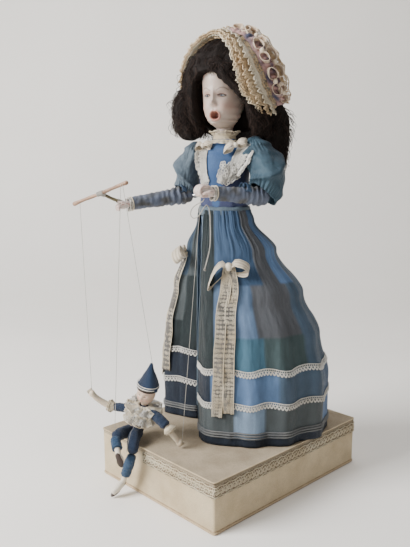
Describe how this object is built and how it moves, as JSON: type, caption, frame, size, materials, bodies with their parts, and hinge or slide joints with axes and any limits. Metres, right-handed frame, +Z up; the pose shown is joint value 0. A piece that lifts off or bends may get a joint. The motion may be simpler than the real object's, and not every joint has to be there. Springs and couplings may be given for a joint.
{
  "type": "musical automaton",
  "caption": "Clockwork musical automaton: a doll in a patchwork silk gown and lace bonnet works a small string marionette above a cloth-covered box.",
  "frame": {"origin": "centre of the base's underside", "axes": "+Z up, the base's front face looks along -Y, the doll's right is towards -X"},
  "size_m": [0.2409, 0.3681, 0.6288],
  "materials": {
    "cover_cloth": "woven cream cloth",
    "pale_wood": "plain wood",
    "gold_braid": "woven braid",
    "steel": "bright steel",
    "brass": "lacquered brass",
    "moulded_card": "moulded card",
    "light_blue_silk": "silk",
    "blue_silk": "patchwork silk",
    "bisque": "unglazed bisque",
    "dark_hair": "frizzed dark mohair",
    "cream_lace": "cream lace",
    "white_cord": "twisted cotton cord",
    "bar_wood": "varnished wood",
    "navy_cotton": "cotton",
    "blue_cotton": "cotton",
    "thread": "thread"
  },
  "bodies": {
    "base": {"base_case": "cover_cloth", "top_board": "cover_cloth", "bottom_board": "pale_wood", "trim_braid": "gold_braid", "base_screw_1": "steel", "base_screw_2": "steel", "base_screw_3": "steel", "base_screw_4": "steel", "movement_front_plate": "brass", "movement_back_plate": "brass", "music_comb": "steel", "ratchet_click": "steel", "lever_frame": "brass", "support_post": "pale_wood", "torso_shell": "moulded_card", "bodice": "light_blue_silk", "overskirt": "blue_silk", "petticoat": "light_blue_silk", "right_puff_sleeve": "blue_silk", "left_puff_sleeve": "blue_silk"},
    "barrel": {"spring_barrel": "brass", "mainspring": "steel"},
    "winding": {"winding_arbor": "steel", "winding_key": "steel"},
    "second": {"second_wheel": "brass"},
    "fly": {"fly_governor": "brass"},
    "cylinder": {"music_cylinder": "brass", "right_arm_cam": "brass", "left_arm_cam": "brass", "head_cam": "brass"},
    "head_link": {"head_lever": "steel"},
    "right_lever": {"right_arm_lever": "steel"},
    "left_lever": {"left_arm_lever": "steel"},
    "right_rod": {"right_pull_rod": "steel"},
    "left_rod": {"left_pull_rod": "steel"},
    "stop": {"stop_slide": "steel"},
    "head": {"head_shaft": "steel", "head": "bisque", "wig": "dark_hair", "bonnet": "cream_lace"},
    "right_arm": {"right_arm_shaft": "steel", "right_forearm": "blue_silk", "right_hand": "bisque", "crossbar": "bar_wood", "bar_handle": "bar_wood"},
    "left_arm": {"left_arm_shaft": "steel", "left_forearm": "blue_silk", "left_hand": "bisque", "hand_cord": "white_cord"},
    "marionette": {"puppet_body": "navy_cotton", "puppet_head": "bisque", "puppet_hat": "navy_cotton", "puppet_right_arm": "navy_cotton", "wrist_string": "thread", "knee_string": "thread", "hat_string": "thread"},
    "marionette_left_arm": {"puppet_left_arm": "navy_cotton"},
    "left_string": {"left_hand_string": "thread"},
    "right_shin": {"puppet_right_leg": "blue_cotton"},
    "left_shin": {"puppet_left_leg": "blue_cotton"}
  },
  "joints": [
    {"name": "barrel_turn", "type": "hinge", "parent": "base", "child": "barrel", "pos_m": [-0.00728, 0.009, 0.033], "axis": [0, 1, 0], "continuous": true},
    {"name": "winding_turn", "type": "hinge", "parent": "base", "child": "winding", "pos_m": [-0.00728, 0.009, 0.033], "axis": [0, 1, 0], "continuous": true},
    {"name": "second_turn", "type": "hinge", "parent": "base", "child": "second", "pos_m": [-0.0297, 0.009, 0.035], "axis": [0, 1, 0], "continuous": true},
    {"name": "fly_turn", "type": "hinge", "parent": "base", "child": "fly", "pos_m": [-0.0451, 0.009, 0.035], "axis": [0, 1, 0], "continuous": true},
    {"name": "cylinder_turn", "type": "hinge", "parent": "base", "child": "cylinder", "pos_m": [0.026, 0.009, 0.034], "axis": [0, 1, 0], "continuous": true},
    {"name": "stop_push", "type": "slide", "parent": "base", "child": "stop", "axis": [0, 1, 0], "range_m": [0, 0.008]},
    {"name": "head_turn", "type": "hinge", "parent": "base", "child": "head", "pos_m": [0.002, -0.018, 0.5], "axis": [0, 0, 1], "range_deg": [-12, 12]},
    {"name": "head_lever_swing", "type": "hinge", "parent": "base", "child": "head_link", "pos_m": [0.002, -0.004, 0.012], "axis": [0, 1, 0], "range_deg": [-5, 5]},
    {"name": "right_forearm_lift", "type": "hinge", "parent": "base", "child": "right_arm", "pos_m": [-0.04267, -0.05022, 0.405], "axis": [-0.9397, -0.342, 0], "range_deg": [0, 14], "deforming": ["left_hand_string"]},
    {"name": "left_forearm_lift", "type": "hinge", "parent": "base", "child": "left_arm", "pos_m": [0.0642, -0.01345, 0.405], "axis": [-0.9397, -0.342, 0], "range_deg": [0, 14], "deforming": ["left_hand_string"]},
    {"name": "right_lever_swing", "type": "hinge", "parent": "base", "child": "right_lever", "pos_m": [0.05, -0.02253, 0.018], "axis": [0, 1, 0], "range_deg": [-4, 0]},
    {"name": "left_lever_swing", "type": "hinge", "parent": "base", "child": "left_lever", "pos_m": [0.05, -0.01492, 0.018], "axis": [0, 1, 0], "range_deg": [-6.2, 0]},
    {"name": "right_rod_slide", "type": "slide", "parent": "base", "child": "right_rod", "axis": [0, 0, 1], "range_m": [-0.0041, 0]},
    {"name": "left_rod_slide", "type": "slide", "parent": "base", "child": "left_rod", "axis": [0, 0, 1], "range_m": [-0.0043, 0]},
    {"name": "marionette_hang", "type": "hinge", "parent": "right_arm", "child": "marionette", "pos_m": [-0.071, -0.171, 0.409], "axis": [-0.9397, -0.342, 0], "range_deg": [-14, 0]},
    {"name": "marionette_arm_lift", "type": "hinge", "parent": "marionette", "child": "marionette_left_arm", "pos_m": [-0.0228, -0.1317, 0.115], "axis": [0.4263, -0.9046, 0], "range_deg": [0, 22]},
    {"name": "left_string_swing", "type": "hinge", "parent": "marionette_left_arm", "child": "left_string", "pos_m": [0.01791, -0.11288, 0.0775], "axis": [0.4263, -0.9046, 0], "range_deg": [-20, 0]},
    {"name": "right_knee", "type": "hinge", "parent": "marionette", "child": "right_shin", "pos_m": [-0.046, -0.176, 0.087], "axis": [0.6367, 0.3745, 0.6741], "range_deg": [-15, 15]},
    {"name": "left_knee", "type": "hinge", "parent": "marionette", "child": "left_shin", "pos_m": [-0.021, -0.166, 0.067], "axis": [0.5292, 0.8079, -0.2594], "range_deg": [-15, 6]}
  ],
  "couplings": [
    {"joint": "cylinder_turn", "follows": "barrel_turn", "ratio": -1.3125},
    {"joint": "second_turn", "follows": "barrel_turn", "ratio": -5.25},
    {"joint": "fly_turn", "follows": "barrel_turn", "ratio": 23.625},
    {"joint": "head_lever_swing", "follows": "head_turn", "ratio": -0.394},
    {"joint": "right_rod_slide", "follows": "right_forearm_lift", "m_per_rad": -0.016},
    {"joint": "right_lever_swing", "follows": "right_forearm_lift", "ratio": -0.25246},
    {"joint": "marionette_hang", "follows": "right_forearm_lift", "ratio": -1},
    {"joint": "left_rod_slide", "follows": "left_forearm_lift", "m_per_rad": -0.017},
    {"joint": "left_lever_swing", "follows": "left_forearm_lift", "ratio": -0.42991},
    {"joint": "marionette_arm_lift", "follows": "left_forearm_lift", "ratio": 1.53},
    {"joint": "left_string_swing", "follows": "left_forearm_lift", "ratio": -1.39}
  ]
}
